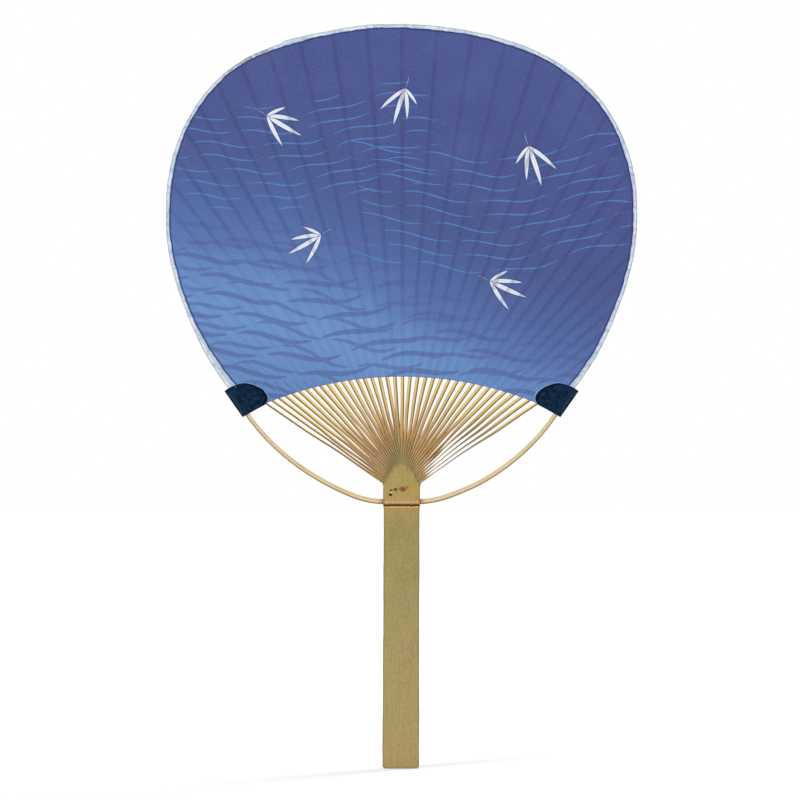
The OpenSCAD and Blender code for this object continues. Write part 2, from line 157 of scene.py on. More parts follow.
# Handle. It is one flat strip of bamboo: the front is the outer skin of the cane with its node, the
# back and the sides are planed, and above the node the strip is thinned and rises in a tongue
# between the ribs. The lower end is sawn square and its corners are eased.
strip_low, strip_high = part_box("handle")
end_z = strip_low.z / MM
tip_z = strip_high.z / MM
node_z = -end_z
back_y = strip_high.y / MM
strip_half = (strip_high.x - strip_low.x) / MM / 2
strip_t = 2 * back_y
skin_r = 55
skin_y = skin_r - strip_t / 2
back_bevel = 0.5
end_corner_r = 1.2
end_chamfer = 0.35
ridge = 0.4
ridge_h = 3.4
scar_z = node_z - ridge_h / 2
scar_depth = 0.16
scar_half = 0.35
tongue_foot_z = node_z + 9.3
tongue_h = tip_z - tongue_foot_z
tongue_shape = 1.7
scoop_foot_z = node_z + 3
flare_r = 3
flare_drop = 1.7
left_edge, left_waist, left_lean = strip_half + 0.07, 0.3, 0.72
right_edge, right_waist, right_lean = strip_half + 0.1, 0.22, 0.24
front_columns = 37
side_rows = 5
rib_names = sorted(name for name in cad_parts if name.startswith("rib_"))
rib_count = len(rib_names)
pitch = 2 * strip_half / rib_count
rib_w = 1.9


def smooth(share):
    share = np.clip(share, 0, 1)
    return share * share * (3 - 2 * share)


def ripple(place, *waves):
    """A gentle unevenness: a sum of waves, each as its length, its height and where it starts."""
    return sum(h * np.sin(2 * np.pi * place / length + start) for length, h, start in waves)


def link_in(name, points, faces, material):
    """Makes a mesh object from points in millimetres and has it ride on the fan."""
    mesh = bpy.data.meshes.new(name)
    mesh.from_pydata((np.asarray(points, float) * MM).tolist(), [], faces)
    mesh.polygons.foreach_set("use_smooth", [True] * len(mesh.polygons))
    mesh.materials.append(material)
    mesh.update()
    made = bpy.data.objects.new(name, mesh)
    studio.collection.objects.link(made)
    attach(made, "root")
    return made


def note(piece, **notes):
    """Keeps numbers at each point of a piece, for its material to read by their name."""
    for name, values in notes.items():
        kept = piece.data.attributes.new(name, "FLOAT", "POINT")
        kept.data.foreach_set("value", np.asarray(values, np.float32))


def in_space(flat, y):
    """Points of the fan's own plane, given as x and z, set at their depth y."""
    return np.stack([flat[:, 0], y, flat[:, 1]], -1)


def skin(rings, sides, closed=True):
    """Faces between rings of points that follow each other, each with the same number of points."""
    around = sides if closed else sides - 1
    return [
        (r * sides + k, r * sides + (k + 1) % sides, (r + 1) * sides + (k + 1) % sides, (r + 1) * sides + k)
        for r in range(rings - 1) for k in range(around)
    ]


def whole_skin(rings, sides):
    """Faces round a solid stick, with the two flat faces at its ends."""
    first, last = range(sides - 1, -1, -1), range((rings - 1) * sides, rings * sides)
    return skin(rings, sides) + [tuple(first), tuple(last)]


def strip_edges(z):
    """Left and right edge of the strip at a height, with the slight unevenness of a split edge."""
    below = smooth((scar_z - z) / 2)
    down = np.clip((scar_z - z) / (scar_z - end_z), 0, 1)
    rise = np.clip((z - tongue_foot_z + flare_drop) / flare_r, 0, 0.6)
    flare = flare_r * (1 - np.sqrt(1 - rise ** 2)) * (1 - smooth((z - tongue_foot_z - 0.15) / 0.35))
    left = -left_edge - flare + below * (left_waist - left_lean * down)
    right = right_edge + flare - below * (right_waist + right_lean * down)
    left += ripple(z, (41, 0.05, 0.3), (13, 0.03, 1.1))
    right += ripple(z, (37, 0.05, 2.1), (11, 0.03, 0.4))
    eased = np.clip((end_z + end_corner_r - z) / end_corner_r, 0, 1)
    eased = end_corner_r * (1 - np.sqrt(1 - eased ** 2))
    dome = np.clip(1 - (z - tongue_foot_z) / tongue_h, 0, 1) ** (1 / tongue_shape)
    return (left + eased) * dome, (right - eased) * dome


def strip_ring(z):
    """One ring of points round the strip: over the front, down a side, and back over the back."""
    left, right = strip_edges(z)
    across = np.linspace(0, 1, front_columns)
    x = left + (right - left) * across
    swell = ridge * math.sin(math.pi * np.clip((z - scar_z) / ridge_h, 0, 1)) ** 2
    scar = scar_depth * max(0, 1 - abs(z - scar_z) / scar_half)
    hand = ripple(z + 3 * x, (9, 0.012, 0), (4.3, 0.008, 1))
    front = skin_y - np.sqrt((skin_r + swell - scar) ** 2 - x ** 2) + hand
    thinning = smooth((z - scoop_foot_z) / (tongue_foot_z - 0.5 - scoop_foot_z))
    depth = strip_t + (rib_w - strip_t) * thinning
    back = np.minimum(back_y, skin_y - np.sqrt((skin_r - depth) ** 2 - x ** 2))
    from_side = np.minimum(across, 1 - across) * (right - left)
    back -= back_bevel * np.clip(1 - from_side / back_bevel, 0, 1) ** 2
    back += ripple(x, (2.1, 0.012, 0), (0.9, 0.008, 2))
    ease = end_chamfer * max(0, 1 - (z - end_z) / end_chamfer)
    front, back = front + ease, back - ease
    side = np.linspace(0, 1, side_rows + 2)[1:-1]
    ring = [(place, y, z) for place, y in zip(x, front)]
    ring += [(x[-1], front[-1] + (back[-1] - front[-1]) * s, z) for s in side]
    ring += [(place, y, z) for place, y in zip(x[::-1], back[::-1])]
    return ring + [(x[0], back[0] + (front[0] - back[0]) * s, z) for s in side]


def strip_heights():
    plain = np.arange(end_z + 1.5, tip_z - 0.5, 0.8)
    ends = np.concatenate([end_z + np.linspace(0, 1.4, 10), tip_z - np.geomspace(0.4, 0.004, 8)])
    node = np.arange(scar_z - 1, scar_z + ridge_h + 0.6, 0.11)
    return np.unique(np.round(np.concatenate([plain, ends, node]), 4))


class Recipe:
    """A material being mixed. Its values are Part objects, which add and multiply like numbers, and
    its ground is the colour that has been laid on so far."""

    def __init__(self, name, roughness, specular):
        self.material = bpy.data.materials.new(name)
        self.material.use_nodes = True
        self.tree = self.material.node_tree
        self.surface = self.tree.nodes["Principled BSDF"]
        self.surface.inputs["Roughness"].default_value = roughness
        self.surface.inputs["Specular IOR Level"].default_value = specular

    def value(self, kind, output, feeds, **settings):
        """What a new node gives when it is fed with numbers, colours or other values."""
        sockets = {name: fed.socket if isinstance(fed, Part) else fed for name, fed in feeds.items()}
        return Part(self, wired(self.tree, kind, sockets, **settings).outputs[output])

    def math(self, operation, *values):
        return self.value("Math", 0, dict(enumerate(values)), operation=operation)

    def noted(self, name):
        return self.value("Attribute", "Fac", {}, attribute_name=name)

    def place(self):
        """Where the point is, in millimetres, as x, y and z."""
        point = wired(self.tree, "TexCoord", {}).outputs["Object"]
        apart = wired(self.tree, "SeparateXYZ", {0: point})
        return [Part(self, socket) / MM for socket in apart.outputs]

    def noise(self, x, y, z, detail=3.0, roughness=0.5, distortion=0.0):
        """Cloudy noise from 0 to 1, whose grains are about one unit of x, y and z."""
        at = self.value("CombineXYZ", 0, {0: x, 1: y, 2: z})
        look = {"Scale": 1, "Detail": detail, "Roughness": roughness, "Distortion": distortion}
        return self.value("TexNoise", "Fac", {"Vector": at, **look})

    def step(self, value, low, high):
        """0 below low, 1 above high, and smooth between them."""
        feeds = {"Value": value, "From Min": low, "From Max": high}
        return self.value("MapRange", "Result", feeds, interpolation_type="SMOOTHSTEP")

    def near(self, value, half, soft):
        """1 where a value is near 0, fading over soft until it is half away from it."""
        return self.step(half - abs(value), 0, soft)

    def away(self, across, up):
        """How far a point is from where across and up are both 0."""
        return self.math("SQRT", across * across + up * up)

    def mix(self, share, first, second):
        """The first colour where share is 0 and the second where it is 1."""
        feeds = {"Factor": share, "A": first, "B": second}
        return self.value("Mix", "Result", feeds, data_type="RGBA", clamp_factor=True)

    def shades(self, value, *stops):
        """A colour that changes with a value, through stops given as (value, red, green, blue)."""
        low, high = stops[0][0], stops[-1][0]
        shade = self.value("ValToRGB", "Color", {0: (value - low) / (high - low)})
        ramp = shade.socket.node.color_ramp.elements
        for k, (at, *tone) in enumerate(stops):
            where = (at - low) / (high - low)
            stop = ramp[k] if k < 2 else ramp.new(where)
            stop.position = where
            stop.color = colour(*tone)
        return shade

    def coat(self, share, *tone):
        """Lays a colour over the ground, as much of it as share says."""
        self.ground = self.mix(share, self.ground, colour(*tone))

    def finish(self, relief, relief_height, roughness=None):
        """Puts the ground and a relief on the surface, and a roughness where that isn't even."""
        bump = self.value("Bump", 0, {"Distance": relief_height * MM, "Height": relief})
        for name, value in (("Base Color", self.ground), ("Roughness", roughness), ("Normal", bump)):
            if value is not None:
                self.tree.links.new(value.socket, self.surface.inputs[name])
        return self.material


class Part:
    """One value of a Recipe."""

    def __init__(self, recipe, socket):
        self.recipe = recipe
        self.socket = socket

    def __add__(self, other):
        return self.recipe.math("ADD", self, other)

    def __sub__(self, other):
        return self.recipe.math("SUBTRACT", self, other)

    def __mul__(self, other):
        return self.recipe.math("MULTIPLY", self, other)

    def __truediv__(self, other):
        return self.recipe.math("DIVIDE", self, other)

    def __rsub__(self, other):
        return self.recipe.math("SUBTRACT", other, self)

    def __abs__(self):
        return self.recipe.math("ABSOLUTE", self)

    __radd__ = __add__
    __rmul__ = __mul__


def colour(*tone):
    """A colour as a painter's chart gives it, each of its three parts 0 to 255, turned into light."""
    light = [c / 255 / 12.92 if c <= 10 else ((c / 255 + 0.055) / 1.055) ** 2.4 for c in tone]
    return (*light, 1)


def bamboo_skin():
    r = Recipe("bamboo_skin", 0.5, 0.2)
    x, y, z = r.place()
    outer = r.noted("skin")
    edge = r.noted("edge")
    hair = r.noise(x * 3.4, y * 3.4, z * 0.07, 4, 0.65)
    streak = r.noise(x * 0.9, y * 0.9, z * 0.02, 3, 0.55)
    cloud = r.noise(x * 0.12, y * 0.12, z * 0.05, 3, 0.5)
    fleck = r.noise(x * 1.9, y * 1.9, z * 0.9, 4, 0.75)
    low = r.shades(
        z, (end_z, 182, 156, 99), (-30, 172, 154, 101), (10, 164, 149, 96),
        (scar_z - 12, 154, 140, 85), (scar_z - 3, 168, 146, 82)
    )
    high = r.shades(
        z, (scar_z, 180, 150, 84), (tongue_foot_z - 4, 182, 156, 78),
        (tongue_foot_z + 1, 173, 154, 83), (tip_z, 164, 152, 98)
    )
    r.ground = r.mix(r.step(z, scar_z - 0.4, scar_z + 0.4), low, high)
    golden = r.step(x, -1, 8) * r.step(z, scar_z + 3, scar_z + 9) * r.step(tongue_foot_z + 1 - z, 0, 5)
    r.coat(golden * 0.7, 194, 160, 66)
    r.coat(r.step(cloud, 0.35, 0.7) * 0.35, 186, 162, 112)
    r.coat(r.step(streak, 0.42, 0.72) * 0.22, 138, 126, 76)
    r.coat(r.step(hair, 0.5, 0.72) * 0.5, 116, 104, 60)
    r.coat(r.step(fleck, 0.54, 0.72) * 0.5, 120, 102, 60)
    r.coat(r.step(0.48 - fleck, 0.0, 0.14) * 0.42, 206, 190, 146)
    ragged = r.noise(x * 1.1, 2.0, z * 1.4, 4, 0.7)
    warm = r.step(z, scar_z - 1.7, scar_z - 1.1) * r.step(scar_z - 0.1 - z, 0, 0.4)
    r.coat(warm * 0.9, 238, 192, 106)
    mottled = r.step(z, scar_z - 4, scar_z - 2.4) * r.step(scar_z - 0.5 - z, 0, 0.6)
    mottled = mottled * r.step(ragged, 0.46, 0.55)
    r.coat(mottled * 0.8, 192, 138, 76)
    blush = r.step(z, scar_z + 0.1, scar_z + 0.5) * r.step(scar_z + 2.5 - z + (ragged - 0.5) * 2.2, 0, 0.6)
    r.coat(blush * (0.45 + 0.5 * r.step(ragged, 0.55, 0.42)), 190, 144, 100)
    # Painted highlight: a pale ragged stripe along the top of the ridge over the node.
    ridge_highlight = r.near(z - scar_z - 1.5 - (ragged - 0.5), 0.5, 0.3) * r.step(ragged, 0.46, 0.56)
    r.coat(ridge_highlight * 0.8, 238, 208, 162)
    wander = (r.noise(x * 0.35, 0.0, 3.1, 3, 0.6) - 0.5) * 1.3
    line = r.near(z - scar_z + 0.15 - wander, 0.68, 0.3)
    r.coat(line * 0.97, 52, 12, 4)
    # Spots over the node; the third, pale one is a painted highlight between the two dark spots on the left.
    spots = (
        (-5.8, 5.3, 1.0, 1, 32, 10, 0), (-5.5, 7.6, 0.95, 0.85, 112, 58, 34),
        (-5.3, 6.45, 0.6, 0.9, 236, 204, 156), (-3.1, 8.1, 1.15, 0.9, 104, 50, 34),
        (0.7, 8.2, 1.9, 0.9, 128, 66, 46), (2.9, 9.3, 1.0, 0.6, 150, 92, 50)
    )
    for spot_x, over_scar, size, depth, *tone in spots:
        dx = (x - spot_x) * 0.78
        dz = z - (scar_z + over_scar)
        ragged_rim = (r.noise(x * 1.5, spot_x, z * 1.5, 3, 0.7) - 0.5) * 1.5 * size
        r.coat(r.step(size - (r.away(dx, dz) + ragged_rim), 0, size * 0.55) * depth, *tone)
    # Painted shade along both side edges of the front, where the round skin turns away, up to below the
    # tongue.
    sides = r.step(edge, 0.9, 0.985) * r.step(tongue_foot_z - 1 - z, 0, 3)
    r.coat(sides * 0.6, 126, 108, 48)
    # Painted shade in the splits that run a little way into the tongue between the ribs' roots.
    over = r.math("POWER", abs(x) / strip_half, tongue_shape)
    deep = (1 - over) * tongue_h + tongue_foot_z - z
    cut = x / pitch + 0.5
    from_cut = abs(r.math("FRACT", cut) - 0.5) * pitch
    cut_long = r.noise(r.math("FLOOR", cut) * 3.7, 0.0, 1.0, 1) * 10 - 2.4
    split_shade = r.step(0.17 - from_cut, 0, 0.12) * r.step(cut_long - deep, 0, 1.6)
    r.coat(split_shade * 0.8, 98, 80, 40)
    cane_skin = r.ground
    r.ground = r.mix(r.step(hair, 0.4, 0.7) * 0.6, colour(206, 178, 122), colour(168, 132, 78))
    r.coat(r.step(streak, 0.4, 0.75) * 0.5, 190, 152, 96)
    r.coat(r.step(fleck, 0.6, 0.78) * 0.5, 140, 100, 56)
    r.coat(r.near(z - node_z, 1.1, 0.8) * 0.6, 150, 112, 66)
    r.ground = r.mix(outer, r.ground, cane_skin)
    return r.finish(hair * 0.6 + fleck * 0.4 - line * 2, 0.06, 0.45 + 0.2 * streak)


heights = strip_heights()
strip_points = np.array([strip_ring(z) for z in heights]).reshape(-1, 3)
strip_sides = len(strip_points) // len(heights)
strip_faces = whole_skin(len(heights), strip_sides)
handle_strip = link_in("bamboo_handle", strip_points, strip_faces, bamboo_skin())
is_front = [1.0] * front_columns + [0.0] * (strip_sides - front_columns)
strip_left, strip_right = np.array([strip_edges(z) for z in strip_points[:, 2]]).T
from_middle = np.abs(strip_points[:, 0] - (strip_left + strip_right) / 2)
out_to_edge = from_middle / np.maximum((strip_right - strip_left) / 2, 0.01)
note(handle_strip, skin=np.tile(is_front, len(heights)), edge=out_to_edge)
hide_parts("handle")

# Ribs. The upper part of the strip is split into thin ribs that stay on the strip. Each stands on
# edge at its root on the tongue, turns flat on its way to the thread, and is scraped thin and
# slightly round before it runs under the paper to the rim.
middle_rib = (rib_count - 1) / 2
rib_t = pitch - 0.055
rib_round = 0.13
rib_swell = 1.12
rib_butt = 1.3
rib_inset = 2.0
flat_at = 0.62
spread_angle = 22.7
spread_skew = 0.05
crescent_r = 186
crescent_rise = 65
crescent_z = node_z + crescent_rise - crescent_r
crescent_centre = np.array([0, crescent_z])
thread_in = 2.2
thread_r = crescent_r + thread_in
face_rise = 248.2
face_top_z = node_z + face_rise
crown_r, crown_angle = 204, 17.5
shoulder_r, shoulder_angle = 87, 86.6
flank_r, flank_angle = 150, 131


def polar(r, degrees):
    return np.stack([r * np.sin(np.radians(degrees)), r * np.cos(np.radians(degrees))], -1)


crown_centre = np.array([0, face_top_z - crown_r])
shoulder_centre = crown_centre + polar(crown_r - shoulder_r, crown_angle)
flank_centre = shoulder_centre + polar(shoulder_r - flank_r, shoulder_angle)
face_arcs = (
    (crown_centre, crown_r, 0, crown_angle), (shoulder_centre, shoulder_r, crown_angle, shoulder_angle),
    (flank_centre, flank_r, shoulder_angle, flank_angle)
)


def room_inside(p):
    """Distance from points of the face in to its outline: three arcs on each side."""
    p = np.stack([np.abs(p[..., 0]), p[..., 1]], -1)
    crown, shoulder, flank = (r - np.linalg.norm(p - centre, axis=-1) for centre, r, _, _ in face_arcs)
    turn = [np.degrees(np.arctan2(*(p - centre).T)).T % 360 for centre in (crown_centre, shoulder_centre)]
    return np.where(turn[0] <= crown_angle, crown, np.where(turn[1] <= shoulder_angle, shoulder, flank))


def reach(start, direction, inset):
    """How far lines run from start before they come within inset of the outline."""
    low, high = np.zeros(len(start)), np.full(len(start), 300.0)
    for _ in range(26):
        half = (low + high) / 2
        still = room_inside(start + direction * half[:, None]) > inset
        low, high = np.where(still, half, low), np.where(still, high, half)
    return low


ribs_at = np.arange(rib_count, dtype=float)
rib_x = (ribs_at - middle_rib) * pitch
rib_z = tongue_foot_z + tongue_h * (1 - (np.abs(rib_x) / strip_half) ** tongue_shape)
rib_y = skin_y - np.sqrt(skin_r ** 2 - rib_x ** 2) + rib_w / 2
rib_root = np.stack([rib_x, rib_z], -1)
share = (ribs_at - middle_rib) / middle_rib
cross_angle = spread_angle * (share + spread_skew * (share ** 2 - 1))
crossing = crescent_centre + polar(thread_r, cross_angle)
rib_long = np.linalg.norm(crossing - rib_root, axis=1)
rib_dir = (crossing - rib_root) / rib_long[:, None]
rib_across = np.stack([rib_dir[:, 1], -rib_dir[:, 0]], -1)
rib_reach = reach(rib_root, rib_dir, rib_inset)
chance = np.random.default_rng(37)


def rib_section(half_w, half_t):
    """Half a rib's width and thickness made into a rounded section, from its skin edge round."""
    e, crown = rib_round, half_t * rib_swell
    front = np.array([
        (-half_w, 0), (-half_w + 0.02, -half_t + e), (-half_w + e, -half_t), (-half_w / 2, -crown),
        (0, -crown), (half_w / 2, -crown), (half_w - e, -half_t), (half_w - 0.02, -half_t + e)
    ])
    return np.concatenate([front, -front])


def split_bamboo():
    r = Recipe("split_bamboo", 0.55, 0.15)
    x, _, z = r.place()
    along = r.noted("along")
    tint = r.noted("tint")
    sideways = r.noted("sideways")
    outward = r.noted("outward")
    hair = r.noise(sideways * 4 + tint * 40, tint * 17, along * 0.08, 4, 0.65)
    patch = r.noise(sideways * 0.5 + tint * 90, tint * 31, along * 0.06, 3, 0.55)
    # Darker towards the root: partly the browner wood there, partly painted shade where the ribs stand close
    # together.
    r.ground = r.shades(
        along, (0, 150, 122, 76), (9, 192, 155, 102), (22, 216, 176, 112), (36, 226, 186, 102),
        (60, 240, 200, 106)
    )
    bundle = r.step(-1 * x, 4, 14) * r.step(44 - along, 0, 22)
    r.coat(bundle * 0.85, 210, 174, 124)
    r.coat(r.step(x, 8, 20) * r.step(54 - along, 0, 34) * 0.45, 132, 102, 48)
    banded = r.step(r.noise(tint * 61, 3.0, along * 0.03, 1), 0.42, 0.6) * r.step(48 - along, 0, 30)
    r.coat(banded * 0.35, 120, 88, 46)
    r.coat(r.step(patch, 0.4, 0.7) * 0.5, 198, 152, 104)
    r.coat(r.step(tint, 0.5, 1) * r.step(60 - along, 0, 40) * 0.4, 176, 130, 98)
    # Painted highlight: a cream stripe along each rib, away from its root.
    cream_highlight = r.near(outward + 0.28, 0.42, 0.3) * r.step(along, 10, 40)
    r.coat(cream_highlight * 0.6, 250, 228, 164)
    r.coat(r.step(hair, 0.52, 0.72) * 0.4, 160, 116, 58)
    outermost = r.step(abs(x) - strip_half - (z - tongue_foot_z) * 0.9, -4, 1)
    shaded = r.step(outward, 0.3, 0.5) * (0.75 + 0.25 * patch) * (0.3 + 0.7 * r.step(along, 2, 14))
    shaded = shaded * (1 - bundle * 0.3) * (1 - 0.3 * r.step(x, 8, 14) * r.step(36 - along, 0, 14))
    shade = r.mix(outermost * r.step(along, 5, 14), colour(98, 70, 24), colour(78, 56, 14))
    r.ground = r.mix(shaded, r.ground, shade)
    root = r.step(x, 5, 8) * r.step(14 - along, 0, 8)
    r.coat(root * 0.6, 204, 172, 124)
    r.coat(r.step(-1 * outward, 0.8, 0.97) * 0.45, 180, 134, 66)
    rind = r.shades(
        along, (0, 180, 164, 108), (7, 210, 182, 130), (18, 212, 176, 122), (40, 158, 124, 60)
    )
    r.ground = r.mix(r.step(-1 * sideways, 0.86, 0.95), r.ground, rind)
    olive = outermost * r.step(x, 0, 6) * r.step(along, 7, 16) * r.step(66 - along, 0, 44)
    r.coat(olive * 0.8, 122, 96, 32)
    green = r.near(x, 7, 4) * r.step(3 + tint * 17 - along, 0, 7)
    r.coat(green * 0.5, 158, 148, 94)
    return r.finish(hair, 0.04)


rib_wood = split_bamboo()
wave_start, wave_phase, rib_tint, late = chance.uniform(0, 1, (4, rib_count))
rib_apart = np.abs(((np.roll(rib_root, -1, 0) - rib_root) * rib_across).sum(1))
rib_apart[-1] = rib_apart[-2]
rib_spread = np.gradient(np.arctan2(rib_dir[:, 0], rib_dir[:, 1]))

# On the right the ribs open out sooner and turn flat later, and the outermost ribs are slimmer.
on_right = smooth((share - 0.55) / 0.35)
flat_by = (flat_at + 0.3 * on_right) * rib_long
shut_until = 25 - 21 * on_right + 6 * late
edge_longer = 1 + 1.1 * smooth((share - 0.6) / 0.3)
slim_left = 0.12 * smooth((-share - 0.4) / 0.3) + 0.28 * smooth((-share - 0.8) / 0.2)
slimmer = slim_left + 0.16 * smooth((share - 0.83) / 0.17)


def rib_turn(i, s):
    """How far rib i still stands on edge, in degrees, at s along it."""
    edge_on = 90 * (1 - smooth((s - 2) / (flat_by[i] - 2)) ** edge_longer[i])
    cover = np.clip(((rib_apart[i] + s * rib_spread[i]) * 1.2 - 0.32) / (rib_w * 0.96), 0, 0.94)
    shut = smooth((s + 1.4) / 1.4) * (1 - smooth((s - shut_until[i]) / (12 - 5 * on_right[i])))
    shut = shut * (1 - 0.6 * on_right[i] * smooth((s - 3) / 4))
    return np.minimum(edge_on, 90 - (90 - np.degrees(np.arccos(cover))) * shut)


def rib_rings(i):
    """Rib i as rings of points, with how far along it each ring is and how wide it is there."""
    low_runs = np.linspace(0.6, flat_by[i], 26)
    high_runs = np.linspace(rib_long[i], rib_reach[i], 14)
    runs = np.unique(np.concatenate([[-rib_butt, -0.6, 0], low_runs, [rib_long[i] - 3], high_runs]))
    turn = np.radians(rib_turn(i, runs) + 4 * (late[i] - 0.5) * smooth(runs / 30))
    rest = 1 - smooth(runs / (flat_at * rib_long[i]))
    sway = np.sin(np.pi * np.clip(runs / rib_long[i], 0, 1)) ** 2
    sway *= 0.3 * np.sin(2 * np.pi * (runs / (38 + 22 * wave_start[i]) + wave_phase[i]))
    rings, sideways = [], []
    for s, a, lift, slip in zip(runs, turn, rest, sway):
        thin = 1 - 0.35 * np.clip((s - rib_long[i]) / (rib_reach[i] - rib_long[i]), 0, 1)
        narrow = 1 - slimmer[i] * smooth(s / 20) - 0.03 * math.cos(s / 9 + 6 * rib_tint[i]) - 0.03 * (s < 1)
        section = rib_section(rib_w / 2 * narrow, rib_t / 2 * thin)
        swing = section[:, 0] * math.cos(a) - section[:, 1] * math.sin(a) + slip
        depth = section[:, 0] * math.sin(a) + section[:, 1] * math.cos(a)
        centre = rib_root[i] + (rib_dir[i] * s if s > 0 else np.array([0.0, s]))
        across = rib_across[i] if s > 0.5 else np.array([1.0, 0.0])
        flat = centre + across * swing[:, None]
        depth = rib_y[i] * lift + depth * (0.95 if s < 0 else 1)
        rings.append(in_space(flat, depth))
        sideways.append(section[:, 0] / (rib_w / 2 * narrow))
    return runs, np.array(rings), np.array(sideways)


for i, name in enumerate(rib_names):
    runs, rings, sideways = rib_rings(i)
    ring_count, sides = sideways.shape
    rib = link_in("bamboo_" + name, rings.reshape(-1, 3), whole_skin(ring_count, sides), rib_wood)
    sideways = sideways.ravel()
    outward = sideways * (-1 if i < middle_rib else 1) + 1.3 * slimmer[i]
    tint = np.full(len(sideways), rib_tint[i])
    note(rib, along=np.repeat(runs, sides), sideways=sideways, outward=outward, tint=tint)
    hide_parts(name)

# Bow. A thin round stick of peeled bamboo is pushed through the hole in the node and bent up on
# both sides until its ends reach under the ears. It is whittled thinner towards its ends, and the
# skin is darker where it passes into the handle. Its round is shown with a painted highlight and
# painted shade.
bow_r, bow_tip_r = 2.7 / 2, 2.3 / 2
bends = ((45.5, 20.5), (118, 18), (111, 16.5))
bend_steps = 16
tail_long = 12
left_lift, right_lift = 0.55, 0.4
bow_sides = 24


def bow_line():
    """The right half of the bow as points with its heading at each, and where its straight end starts."""
    heading, at = 0.0, np.array([strip_half, node_z])
    line = [(np.array([s, node_z]), 0.0) for s in np.linspace(0, strip_half, 8)[:-1]]
    for r, degrees in bends:
        for k in range(bend_steps + 1):
            a = heading + math.radians(degrees) * k / bend_steps
            bent = at + r * np.array([math.sin(a) - math.sin(heading), math.cos(heading) - math.cos(a)])
            line.append((bent, a))
        line.pop()
        at, heading = bent, a
    ahead = np.array([math.cos(heading), math.sin(heading)])
    line += [(at + ahead * s, heading) for s in np.linspace(0, tail_long, 9)]
    return line, at, heading


def peeled_bamboo():
    r = Recipe("peeled_bamboo", 0.5, 0.15)
    x, y, z = r.place()
    along = r.noted("along")
    around = r.noted("around")
    below = r.noted("below")
    hair = r.noise(around * 3, along * 0.07, 2.0, 4, 0.6)
    facet = r.noise(around * 0.9, along * 0.03, 5.0, 2, 0.5)
    cloud = r.noise(x * 0.07, y * 0.5, z * 0.07, 3)
    r.ground = r.mix(r.step(cloud, 0.35, 0.7), colour(228, 208, 160), colour(220, 192, 140))
    r.coat(r.step(facet, 0.42, 0.62) * 0.5, 230, 202, 170)
    r.coat(r.step(hair, 0.5, 0.72) * 0.4, 180, 148, 92)
    # Painted light round the stick: a highlight along its middle, dark shade along its lower edge and
    # lighter shade along its upper edge.
    r.coat(r.near(below, 0.3, 0.3) * 0.5, 240, 216, 188)
    r.coat(r.step(below, 0.25, 0.8) * 0.95, 138, 110, 48)
    r.coat(r.step(-1 * below, 0.7, 1) * 0.5, 190, 164, 104)
    # Darker brown towards the handle, darkest right where the bow goes into it.
    darker_near_handle = r.step(abs(x) + (hair - 0.5) * 2.4, strip_half + 3.4, strip_half + 0.8)
    r.coat(darker_near_handle * 0.55, 150, 112, 84)
    r.coat(r.step(abs(x), strip_half + 1.0, strip_half + 0.2) * 0.55, 96, 60, 44)
    return r.finish(hair * 0.7 + facet * 0.3, 0.06)


def hand_lift(p, high, span):
    """How much higher the bow stands at a point than an even bend would leave it."""
    return high * math.sin(math.pi * np.clip((p[0] - strip_half) / span, 0, 1))


half_line, tail_start, tail_heading = bow_line()
bow_span = tail_start[0] - strip_half
whole_line = []
for p, a in half_line[:0:-1]:
    lift = hand_lift(p, left_lift, bow_span)
    whole_line.append((np.array([-p[0] + 0.4 * lift, p[1] + lift]), -a))
for p, a in half_line:
    whole_line.append((p + np.array([0, hand_lift(p, right_lift, 0.45 * bow_span)]), a))
bow_points, bow_along, bow_around = [], [], []
round_bow = np.arange(bow_sides) * 2 * math.pi / bow_sides
run = 0.0
last_p = whole_line[0][0]
for k, (p, a) in enumerate(whole_line):
    run += np.linalg.norm(p - last_p)
    last_p = p
    out = np.clip((abs(p[0]) - strip_half) / bow_span, 0, 1)
    r = bow_r + (bow_tip_r - bow_r) * out - 0.25 * (k in (0, len(whole_line) - 1))
    up = np.array([-math.sin(a), math.cos(a)])
    for turn in round_bow:
        hand = 1 + 0.012 * math.sin(3 * turn + run / 23) + 0.008 * math.sin(5 * turn - run / 9)
        q = p + up * math.cos(turn) * r * hand
        bow_points.append((q[0], -math.sin(turn) * r * hand, q[1]))
        bow_along.append(run)
        bow_around.append(abs(turn - math.pi) * r)
bow_faces = [f[::-1] for f in whole_skin(len(whole_line), bow_sides)]
bow_stick = link_in("bamboo_bow", bow_points, bow_faces, peeled_bamboo())
note(bow_stick, along=bow_along, around=bow_around, below=np.tile(-np.cos(round_bow), len(whole_line)))
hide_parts("bow")

# Thread. A cotton thread is woven over and under the ribs just above the lower edge of the paper,
# and wound round both ends of the bow. It is the solid itself, with a twisted cotton finish.


def cotton():
    r = Recipe("cotton_thread", 0.85, 0.15)
    x, y, z = r.place()
    ply = r.noise(x * 5, y * 5, z * 5, 2)
    fluff = r.noise(x * 14, y * 14, z * 14, 3)
    r.ground = r.mix(r.step(ply, 0.35, 0.65), colour(238, 231, 212), colour(214, 202, 176))
    r.coat(r.step(fluff, 0.5, 0.8) * 0.4, 250, 247, 238)
    return r.finish(ply + fluff * 0.5, 0.06)


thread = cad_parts["thread"]
thread.data.materials.clear()
thread.data.materials.append(cotton())

# Papers. Two sheets of handmade paper are pasted over the ribs from the front and the back, and
# rubbed down until they meet between the ribs, so every rib and the thread show as low ridges.
# The front sheet is printed and the back one is plain.
paper_t = 0.15
rib_level = rib_t / 2 + paper_t
web_level = paper_t + 0.02
web_ramp = 0.75
thread_d = 0.32
thread_level = rib_t / 2 + thread_d + paper_t + 0.03
rim_room = 0.9
rim_half = 1.85
rim_middle_z = 210
lap_x, lap_low_z = -60.5, 240
pull_z = 82


def rib_distance(p):
    """The nearest rib's number and the distance to its middle line, for points of the face."""
    off = p[:, None, :] - rib_root[None]
    away = np.abs((off * rib_across[None]).sum(-1))
    nearest = away.argmin(1)
    return nearest, away[np.arange(len(p)), nearest]


